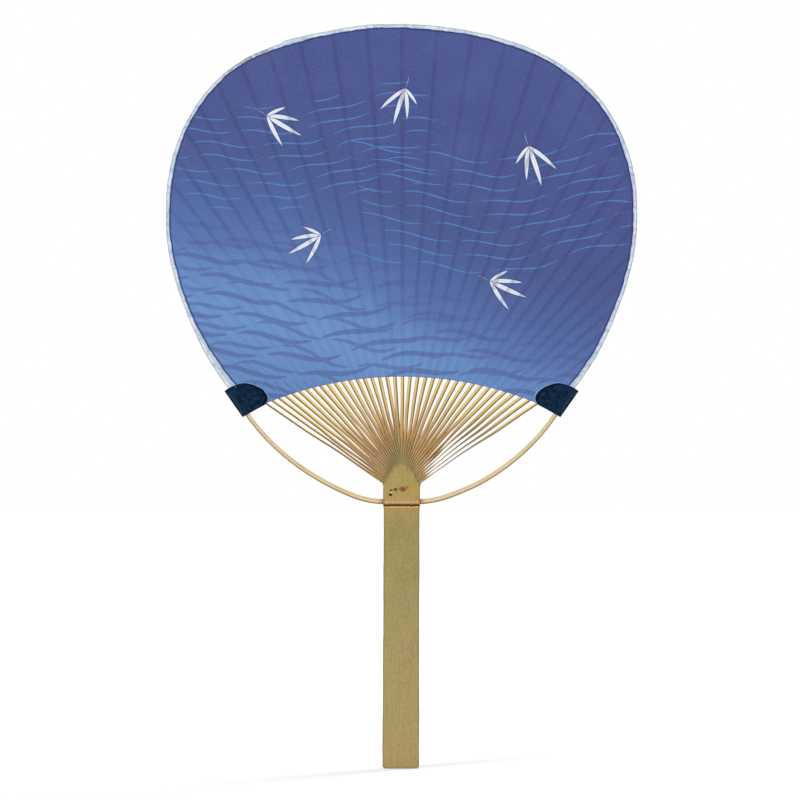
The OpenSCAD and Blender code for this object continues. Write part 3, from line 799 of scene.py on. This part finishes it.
def paper_level(p, side):
    """Height of the paper's outer face over the middle plane. side is -1 in front and 1 behind."""
    nearest, away = rib_distance(p)
    over = smooth(1 - (away - rib_w / 2 + 0.12) / web_ramp)
    level = web_level + (rib_level - web_level) * over
    level += (1 - over) * 0.035 * (1 + ripple(p[:, 0] + 0.3 * p[:, 1], (23, 0.5, 0.4), (61, 0.5, 2)) * side)
    from_edge = np.linalg.norm(p - crescent_centre, axis=1) - crescent_r
    thread_here = np.exp(-((from_edge - thread_in) / 0.55) ** 2)
    on_this_side = np.where((nearest % 2 == 0) == (side > 0), 1.0, 0.0)
    over_thread = on_this_side * smooth(1 - (away - rib_w / 2) / 1.6)
    lift = (thread_level - rib_level) * over_thread + 0.12 * (1 - over)
    return level + lift * thread_here


def crescent_meet(start, direction):
    """How far lines run from start before they cross the paper's lower edge."""
    off = start - crescent_centre
    b = (off * direction).sum(-1)
    return -b + np.sqrt(b * b - (off * off).sum(-1) + crescent_r ** 2)


def rim_shape(p, side):
    """How far the cut edge stands out from the outline at points near it, and the rim strip's width."""
    turn = np.degrees(np.arctan2(p[:, 0], p[:, 1] - rim_middle_z))
    out = ripple(turn, (3.3, 0.05, 0), (8.1, 0.05, 1.3), (1.9, 0.03, 0.7))
    bumps = (
        (-10, 0.4, 6), (-50, 0.85, 12), (-93, 0.5, 7), (-112, -0.55, 9), (16, -0.3, 8), (40, -1.2, 15),
        (66, -0.3, 9), (93, 0.4, 7), (112, -0.5, 8)
    )
    for at, far, long in bumps:
        out += far * np.exp(-((turn - at) / long) ** 2)
    wide = rim_half + ripple(turn, (21, 0.15, side), (6.1, 0.06, 2 * side), (2.4, 0.02, 0.3))
    wide += smooth((np.abs(turn) - 112) / 18) * np.where(turn < 0, 1.9, 0.7) - np.maximum(out, 0) * 0.5
    past = p[:, 0] - lap_x
    over_lap = smooth((past + 1.5) / 0.7)
    step = over_lap * 0.45 * (1 - smooth((past - 3) / 16)) - (1 - over_lap) * 0.3 * smooth((past + 19) / 8)
    step = np.where(p[:, 1] > lap_low_z, step, 0)
    return out + step, wide + step


def rim_meet(start, direction):
    """How far lines run from start before they reach the cut edge of the sheets, under the rim strip."""
    out = rim_shape(start + direction * reach(start, direction, rim_room)[:, None], 1)[0]
    return reach(start, direction, rim_room - out)


def face_line(a, b):
    """The line through two points of the face, from the paper's lower edge to its rim."""
    d = (b - a) / np.linalg.norm(b - a)
    return a + d * crescent_meet(a[None], d[None])[0], a + d * rim_meet(a[None], d[None])[0]


def face_lines():
    """Lines up the face, close together beside each rib and further apart between two."""
    steps = np.array([-1.75, -1.35, -1.0, -0.75, 0, 0.75, 1.0, 1.35, 1.75])
    lines = []
    for i in range(rib_count):
        start = rib_root[i] + rib_across[i] * steps[:, None]
        direction = np.tile(rib_dir[i], (len(steps), 1))
        low = start + direction * crescent_meet(start, direction)[:, None]
        high = start + direction * rim_meet(start, direction)[:, None]
        if lines:
            from_low, from_high = lines[-1]
            low_gap, high_gap = low[0] - from_low, high[0] - from_high
            lines += [face_line(from_low + low_gap * f, from_high + high_gap * f) for f in (0.25, 0.5, 0.75)]
        lines += list(zip(low, high))
    return lines


ear_ahead = np.array([math.cos(tail_heading), math.sin(tail_heading)])
ear_inward = np.array([-ear_ahead[1], ear_ahead[0]])


def from_ear(u, s, right):
    """A point given along the bow's straight end and in from it, on the right or the left ear."""
    p = tail_start + np.multiply.outer(u, ear_ahead) + np.multiply.outer(s, ear_inward)
    return p * (1 if right else -1, 1)


def corner_lines(line, right):
    """Lines that carry the paper on from the outermost rib's last line to under the ear."""
    low, high = line
    foot, head = from_ear(3.0, 8.2, right), from_ear(17.0, -1.25, right)
    return [face_line(low + (foot - low) * f, high + (head - high) * f) for f in np.linspace(0, 1, 6)[1:]]


rib_lines = face_lines()
all_lines = corner_lines(rib_lines[0], False)[::-1] + rib_lines + corner_lines(rib_lines[-1], True)
face_low, face_high = np.array(all_lines).transpose(1, 0, 2)
near_rows = np.array([0, 0.35, 0.8, 1.2, 1.6, 1.9, 2.2, 2.5, 2.8, 3.2, 3.8, 5])
far_rows = np.linspace(0, 1, 76) ** 1.1
face_long = np.linalg.norm(face_high - face_low, axis=1)
face_way = (face_high - face_low) / face_long[:, None]
row_runs = [d + 0 * face_long for d in near_rows]
row_runs += [near_rows[-1] + (face_long - near_rows[-1]) * f for f in far_rows[1:]]
face_rows = np.stack([face_low + face_way * run[:, None] for run in row_runs])


def thicken(sheet, name, t):
    """Gives a sheet its thickness, in from the side that shows."""
    body = sheet.modifiers.new(name, "SOLIDIFY")
    body.thickness = t * MM
    body.offset = -1


def face_sheet(name, side, material, node):
    flat = face_rows.reshape(-1, 2)
    level = paper_level(flat, side) * side
    faces = skin(*face_rows.shape[:2], closed=False)
    if side > 0:
        faces = [f[::-1] for f in faces]
    sheet = link_in(name, in_space(flat, level), faces, material)
    out, wide = rim_shape(flat, side)
    note(sheet, over_rib=rib_distance(flat)[1], from_rim=room_inside(flat) + out - wide)
    thicken(sheet, "paper_thickness", paper_t - 0.02)
    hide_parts(node)


def washi(r, x, z):
    """Fibres of the handmade paper: soft clouds, fine grain and a few long hairs."""
    cloud = r.noise(x * 0.05, 0.0, z * 0.05, 4, 0.55)
    grain = r.noise(x * 1.6, 3.0, z * 1.6, 4, 0.65)
    long_a = r.noise(x * 0.35 + z * 0.25, 7.0, z * 2.1 - x * 1.4, 3, 0.6, 0.4)
    long_b = r.noise(x * 0.3 - z * 0.2, 11.0, z * 1.9 + x * 1.7, 3, 0.6, 0.4)
    hairs = r.math("MAXIMUM", r.step(long_a, 0.62, 0.74), r.step(long_b, 0.63, 0.75))
    return cloud, grain, hairs


def ripples(r, x, z, middle, sway, spacing, rows, long, half, soft, start, end):
    """Rows of brush lines, as their share of ink at a point. They follow a sway of two waves about
    the height middle, each long, and run from start to end across the face."""
    wave = r.math("SINE", x / sway[0] + sway[2]) * sway[1] + r.math("SINE", x / sway[3] + sway[5]) * sway[4]
    place = (z - middle - wave) / spacing
    row = r.math("ROUND", place)
    cell = x / long + r.math("FRACT", row * 0.618) * 1.7
    part = r.math("FRACT", cell)
    which = r.math("FLOOR", cell) * 5.31 + row * 2.77
    dip = r.math("SINE", part * (2 * math.pi)) * spacing * 0.17
    taper = r.math("SINE", r.math("MINIMUM", r.math("MAXIMUM", (part - 0.05) / 0.9, 0.0), 1.0) * math.pi)
    taper = r.math("POWER", taper, 0.45)
    ink = r.step(taper * half - abs((place - row) * spacing - dip), -soft, soft) * r.step(taper, 0.05, 0.3)
    kept = r.step(r.noise(which, 0.0, 4.0, 0), 0.22, 0.28)
    ends = r.step(x + r.noise(row * 3.1, 1.0, 0.0, 0) * 40, start + 14, start + 26)
    ends = ends * r.step(end - x + r.noise(row * 2.3, 7.0, 0.0, 0) * 40, 14, 26)
    return ink * kept * ends * r.step(rows / 2 - abs(place), 0, 0.1)


def nearest_sprig(r, x, z, sprigs, reach_out):
    """The point as seen from the sprig it lies near: along that sprig's stem, and aside from it."""
    along, aside = 99.0, 99.0
    for foot_x, foot_z, lean, size, hand in sprigs:
        a = math.radians(lean)
        u = (x - foot_x) * (math.cos(a) / size) + (z - foot_z) * (math.sin(a) / size)
        v = (z - foot_z) * (math.cos(a) * hand / size) - (x - foot_x) * (math.sin(a) * hand / size)
        near = r.math("LESS_THAN", u * u + v * v, reach_out * reach_out)
        along = (u - along) * near + along
        aside = (v - aside) * near + aside
    return along, aside


def leaf(r, u, v, degrees, long, wide, bend):
    """One slender leaf of a sprig: how deep inside it a point is, how far along, and from its vein."""
    a = math.radians(degrees)
    along = (u * math.cos(a) + v * math.sin(a)) / long
    share = r.math("MINIMUM", r.math("MAXIMUM", along, 0.0), 1.0)
    aside = v * math.cos(a) - u * math.sin(a) - share * share * bend
    half = r.math("POWER", share, 0.6) * r.math("POWER", 1 - share, 0.8) * wide
    return half - abs(aside), share, aside


def printed_paper():
    r = Recipe("printed_paper", 0.85, 0.08)
    x, _, z = r.place()
    cloud, grain, hairs = washi(r, x, z)
    slope = z + x * 0.4 + (cloud - 0.5) * 26 + r.math("SINE", x / 40) * 3
    slope = slope + r.step(x, -50, -105) * 12
    r.ground = r.shades(
        slope, (112, 108, 147, 199), (140, 113, 154, 208), (156, 106, 144, 199), (174, 93, 122, 180),
        (196, 81, 104, 162), (222, 75, 89, 143), (270, 75, 85, 143), (330, 77, 88, 147)
    )
    light_zone = r.step(slope, 214, 176)
    broad = ripples(r, x, z, 160, (34, 6, 0.4, 15, 1.6, 1.0), 9.5, 12, 44, 1.35, 0.35, -116, 110)
    second = ripples(r, x, z, 156, (27, -6, 1.8, 12, 1.4, 0.2), 10.5, 11, 39, 1.1, 0.3, -112, 80)
    stroke = r.math("MAXIMUM", broad, second * 0.85) * light_zone
    r.coat(stroke * 0.62, 84, 98, 162)
    high = ripples(r, x, z, 254, (38, 7, 0.9, 15, 1.6, 2.0), 6.8, 8, 36, 0.36, 0.2, -116, 14)
    low = ripples(r, x, z, 226, (33, 8, 3.6, 14, 1.5, 0.4), 7.2, 9, 40, 0.36, 0.2, -20, 120)
    r.coat(r.math("MAXIMUM", high, low) * 0.8, 84, 142, 206)
    sprigs = (
        (-70, 270, -34, 1.0, 1), (2, 284, -112, 0.95, 1), (66, 254, -68, 1.05, -1),
        (-42, 208, -146, 0.95, -1), (46, 184, -28, 1.0, 1)
    )
    u, v = nearest_sprig(r, x, z, sprigs, 25)
    leaves = (
        (180, 9, 0.55, 1.2), (0, 21, 3.3, 1.4), (31, 17, 3.0, -1.8), (-35, 18, 3.0, 2.0), (64, 11, 2.4, -1.2)
    )
    for turn, long, wide, bend in leaves:
        deep, share, vein = leaf(r, u, v, turn, long, wide, bend)
        fill = r.mix(share * 0.6, colour(253, 255, 255), colour(222, 238, 250))
        fill = r.mix(r.near(vein, 0.14, 0.12) * 0.45, fill, colour(140, 182, 224))
        fill = r.mix(r.step(deep, 0.4, 0.0) * 0.45, fill, colour(130, 176, 224))
        within = r.step(share, 0.0, 0.03) * r.step(1 - share, 0.0, 0.03)
        r.coat(r.step(deep, -0.6, -0.1) * within * 0.6, 46, 52, 116)
        r.ground = r.mix(r.step(deep, -0.05, 0.25) * 0.97, r.ground, fill)
    over = r.noted("over_rib")
    shadow = r.step(rib_w / 2 + 0.65 - over, 0, 1.2) * (0.09 + 0.24 * r.step(slope, 150, 215))
    shadow = shadow * (r.noise(x * 0.05, 5.0, z * 0.025, 2) * 1.4 + 0.4)
    r.coat(shadow, 64, 60, 112)
    rim_shadow = r.step(r.noted("from_rim"), 1.2, 0.5)
    r.coat(rim_shadow * 0.88, 44, 50, 116)
    low_edge = r.away(x, z - crescent_z) - crescent_r
    r.coat(r.step(0.6 - low_edge, 0, 0.4) * 0.4, 62, 98, 178)
    up = z - pull_z
    crinkle = r.noise(r.math("ARCTAN2", x, up) * 70, r.away(x, up) * 0.09, 0.0, 3, 0.6)
    r.coat(r.step(crinkle, 0.5, 0.75) * 0.12, 70, 78, 140)
    r.coat(r.step(cloud, 0.4, 0.75) * 0.1, 116, 136, 188)
    r.coat(r.step(grain, 0.46, 0.68) * 0.24, 132, 150, 200)
    r.coat(r.step(0.5 - grain, 0.0, 0.18) * 0.24, 54, 58, 108)
    r.coat(hairs * 0.12, 160, 178, 214)
    return r.finish(grain * 0.4 + hairs * 0.3 + crinkle * 0.5, 0.07)


def plain_paper():
    r = Recipe("plain_paper", 0.9, 0.08)
    x, _, z = r.place()
    cloud, grain, hairs = washi(r, x, z)
    r.ground = r.mix(r.step(cloud, 0.3, 0.7), colour(240, 236, 224), colour(230, 226, 214))
    over = r.noted("over_rib")
    r.coat(r.step(rib_w / 2 + 0.4 - over, 0, 0.5) * 0.4, 222, 206, 172)
    r.coat(r.step(grain, 0.45, 0.75) * 0.25, 216, 212, 202)
    r.coat(hairs * 0.5, 250, 248, 242)
    return r.finish(grain * 0.6 + hairs * 0.4, 0.05)


face_sheet("front_sheet", -1, printed_paper(), "front_paper")
face_sheet("back_sheet", 1, plain_paper(), "back_paper")

# Rim. A narrow strip of thin pale paper is pasted round the edge of the face and folded over it,
# half on each side. It creases as it goes round, and its two ends lap near the top left.
rim_t = 0.1
lap_long = 9
edge_dip = 0.12
tape_lift = (0.02, 0.06, 0.075, 0.08, 0.085, 0.07)
fold_round = ((0.16, -0.72), (0.04, -0.4), (0, 0), (0.04, 0.4), (0.16, 0.72))
rim_spacing = 0.75
worn_x = -79
under_ear = 15.2


def rim_line():
    """Points on the outline from the left ear over the crown to the right ear, and their normals."""
    points, normals = [], []
    for centre, r, first, last in face_arcs:
        count = int(math.radians(last - first) * r / rim_spacing)
        turn = np.linspace(first, last, count, endpoint=False)
        points.append(centre + polar(r, turn))
        normals.append(polar(1, turn))
    points, normals = np.concatenate(points), np.concatenate(normals)
    kept = (points - tail_start) @ ear_ahead > under_ear
    return [np.concatenate([half[:0:-1] * (-1, 1), half]) for half in (points[kept], normals[kept])]


def binding_paper():
    r = Recipe("binding_paper", 0.85, 0.08)
    x, y, z = r.place()
    along = r.noted("along")
    inward = r.noted("inward")
    crease = r.noise(along * 0.5, inward * 0.35, 0.0, 4, 0.6)
    patch = r.noise(along * 0.09, inward * 0.2, 6.0, 3, 0.5)
    grain = r.noise(x * 2, y * 2, z * 2, 3)
    r.ground = r.mix(r.step(patch, 0.35, 0.65), colour(232, 240, 245), colour(196, 212, 228))
    r.coat(r.step(crease, 0.46, 0.66) * 0.6, 146, 166, 196)
    r.coat(r.step(inward, rim_half - 0.8, rim_half) * 0.45, 150, 170, 206)
    r.coat(r.step(0.8 - inward, 0.1, 0.7) * 0.7, 146, 158, 176)
    worn = r.near(x - worn_x, 14, 6) * r.step(z, 235, 255)
    r.coat(worn * r.step(crease, 0.36, 0.5) * 0.8, 146, 152, 158)
    r.coat(r.step(grain, 0.5, 0.75) * 0.3, 238, 243, 246)
    return r.finish(crease * 0.7 + grain * 0.3, 0.07)


rim_points, rim_normals = rim_line()
rim_run = np.concatenate([[0], np.cumsum(np.linalg.norm(np.diff(rim_points, axis=0), axis=1))])
rim_uneven = rim_shape(rim_points, 1)[0]
lap = smooth((rim_points[:, 0] - lap_x) / 0.5) * smooth((lap_x + lap_long - rim_points[:, 0]) / 0.5)


def rim_in(depth):
    """The points that lie a depth in from the strip's uneven outer edge."""
    return rim_points - rim_normals * (depth - rim_uneven)[:, None]


def pasted_half(side):
    """The half of the strip on one face, from its inner edge out, as depths and points."""
    width = rim_shape(rim_points, side)[1] + edge_dip * lap
    depths = (width, width - edge_dip, width * 0.72, width * 0.45, 0.75, 0.42)
    half = []
    for k, (depth, up) in enumerate(zip(depths, tape_lift)):
        flat = rim_in(depth)
        waves = ((6.1, 0.5, k), (3.3, 0.4, 2 * k), (11.7, 0.5, 0.5 * k))
        crinkle = np.abs(0.05 * ripple(rim_run + 3 * k * side, *waves)) * (k > 0)
        level = paper_level(flat, side) + up + rim_t / 2 + crinkle + 0.07 * lap
        half.append((depth, in_space(flat, side * level)))
    return half


rim_fold = []
fold_half = 0.36 + 0.05 * ripple(rim_run, (5.7, 0.6, 0.2), (13, 0.5, 1))
for depth, share_y in fold_round:
    rim_fold.append((depth, in_space(rim_in(depth), share_y * fold_half)))
rim_layers = pasted_half(-1) + rim_fold + pasted_half(1)[::-1]
rim_grid = np.stack([points for _, points in rim_layers], 1)
rim_depths = np.stack([depth + 0 * rim_run for depth, _ in rim_layers], 1)
rim_faces = skin(len(rim_points), len(rim_layers), closed=False)
rim_tape = link_in("rim_tape", rim_grid.reshape(-1, 3), rim_faces, binding_paper())
note(rim_tape, along=np.repeat(rim_run, len(rim_layers)), inward=rim_depths.reshape(-1))
thicken(rim_tape, "tape_thickness", rim_t)
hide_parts("rim_binding")

# Ears. A patch of thick dark blue paper is folded round each end of the bow and pasted down on
# both faces, where it holds the bow to the ribs. It rises over the bow and the thread, and its
# cut edge lies on a thin line of pale paste.
fold_s = -2.8
fold_from, fold_to = 1.7, 18.0
ear_t = 0.16
ear_deep = 16.3
pocket_r = bow_tip_r + thread_d + 0.22
pocket_slope = 0.72
ear_columns = 61
ear_rows = np.concatenate([np.linspace(0, 1, 30) ** 1.35, [1.0, 1.055]])
ear_marks = np.append(ear_rows[:-1], 1.03)
ear_bends = (
    (0.0, 0.26, (0.0, 0.0), (-0.02, 0.25), (-0.04, 0.5), (-0.07, 0.74)),
    (0.26, 0.5, (-0.07, 0.74), (-0.1, 1.11), (0.35, 1.15), (0.79, 0.74)),
    (0.76, 0.24, (0.79, 0.74), (0.92, 0.62), (1.03, 0.28), (1.0, 0.0))
)


def cut_edge(t):
    """A point of the ear's cut edge, from one end of the fold at 0 round the nose to the other at 1."""
    start, long, *corners = [bend for bend in ear_bends if bend[0] <= t][-1]
    k = min((t - start) / long, 1)
    shares = ((1 - k) ** 3, 3 * (1 - k) ** 2 * k, 3 * (1 - k) * k * k, k ** 3)
    across, deep = np.dot(shares, corners)
    return fold_from + across * (fold_to - fold_from), deep * ear_deep + fold_s


def pocket(u, s):
    """Height of the sheet over the bow's end: up from the fold, over the bow and down to the face."""
    r = pocket_r - 0.3 * smooth((9.5 - u) / 2)
    fall = 1 - smooth((u - tail_long - 0.2) / 4.5) * 0.72
    out = math.acos(min(r / -fold_s, 1))
    tangent_s, tangent_h = -r * math.cos(out), r * math.sin(out)
    if s <= tangent_s:
        height = tangent_h * max((s - fold_s) / (tangent_s - fold_s), 0) ** 0.8
    elif s <= r * 0.6:
        height = math.sqrt(r * r - s * s)
    else:
        height = r * 0.8 - (s - r * 0.6) * pocket_slope
    return height * fall


def dark_paper():
    r = Recipe("dark_paper", 0.8, 0.06)
    x, y, z = r.place()
    edge = r.noted("to_edge")
    cloud = r.noise(x * 0.5, y * 0.5, z * 0.5, 4, 0.6)
    fibre = r.noise(x * 1.2 + z * 0.5, y, z * 2.6 - x * 0.8, 4, 0.65, 0.5)
    grain = r.noise(x * 3, y * 3, z * 3, 3)
    r.ground = r.mix(r.step(cloud, 0.4, 0.65), colour(0, 22, 44), colour(8, 50, 78))
    r.coat(r.step(fibre, 0.48, 0.64) * 0.7, 38, 46, 74)
    worn = r.step(r.noise(x * 0.7, y * 0.7 + 9, z * 0.7, 3, 0.6), 0.56, 0.7)
    r.coat(worn * 0.45, 50, 50, 70)
    r.coat(r.step(grain, 0.58, 0.78) * 0.45, 38, 74, 108)
    r.coat(r.step(edge, 0.87, 0.95) * 0.8, 2, 8, 24)
    # Painted highlight: a thin lighter line along the crest just in from the fold.
    crest_highlight = r.near(edge - 0.1, 0.06, 0.04) * r.step(fibre, 0.35, 0.6)
    r.coat(crest_highlight * 0.5, 62, 80, 110)
    r.coat(r.step(0.06 - edge, 0, 0.03) * 0.8, 2, 6, 20)
    r.coat(r.step(edge, 1.0, 1.012), 128, 160, 216)
    return r.finish(cloud * 0.3 + fibre * 0.4 + grain * 0.3, 0.14)


def ear_half(side, right):
    """The half of an ear on one face, in rows from the fold out to its cut edge and the paste."""
    t = np.linspace(0, 1, ear_columns)
    fold = np.stack([fold_from + (fold_to - fold_from) * t, np.full(ear_columns, fold_s)], -1)
    cut = np.array([cut_edge(share) for share in t])
    rows = []
    for deep in ear_rows:
        places = fold + (cut - fold) * deep
        flat = from_ear(places[:, 0], places[:, 1], right)
        rests = paper_level(flat, side) * smooth((places[:, 1] - fold_s) / 1.2)
        heights = []
        for c, ((u, s), rest) in enumerate(zip(places, rests)):
            rise = max(pocket(u, s), 0)
            crumple = 0.06 * ripple(u * 1.3 + s, (5.1, 0.5, side), (2.9, 0.4, 1), (8.3, 0.5, c / 40))
            thick = (ear_t + max(crumple, -0.02)) * smooth((s - fold_s) / 0.5)
            heights.append(math.sqrt(rise * rise + rest * rest) + thick)
        if deep > 1:
            heights = rests + 0.03
        rows.append(in_space(flat, side * np.array(heights)))
    return rows


def make_ear(name, right, node):
    rows = ear_half(-1, right)[::-1] + ear_half(1, right)[1:]
    marks = np.concatenate([ear_marks[::-1], ear_marks[1:]])
    faces = skin(len(rows), ear_columns, closed=False)
    if not right:
        faces = [f[::-1] for f in faces]
    ear = link_in(name, np.concatenate(rows), faces, ear_material)
    note(ear, to_edge=np.repeat(marks, ear_columns))
    thicken(ear, "patch_thickness", ear_t - 0.04)
    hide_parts(node)


ear_material = dark_paper()
make_ear("left_patch", False, "left_ear")
make_ear("right_patch", True, "right_ear")
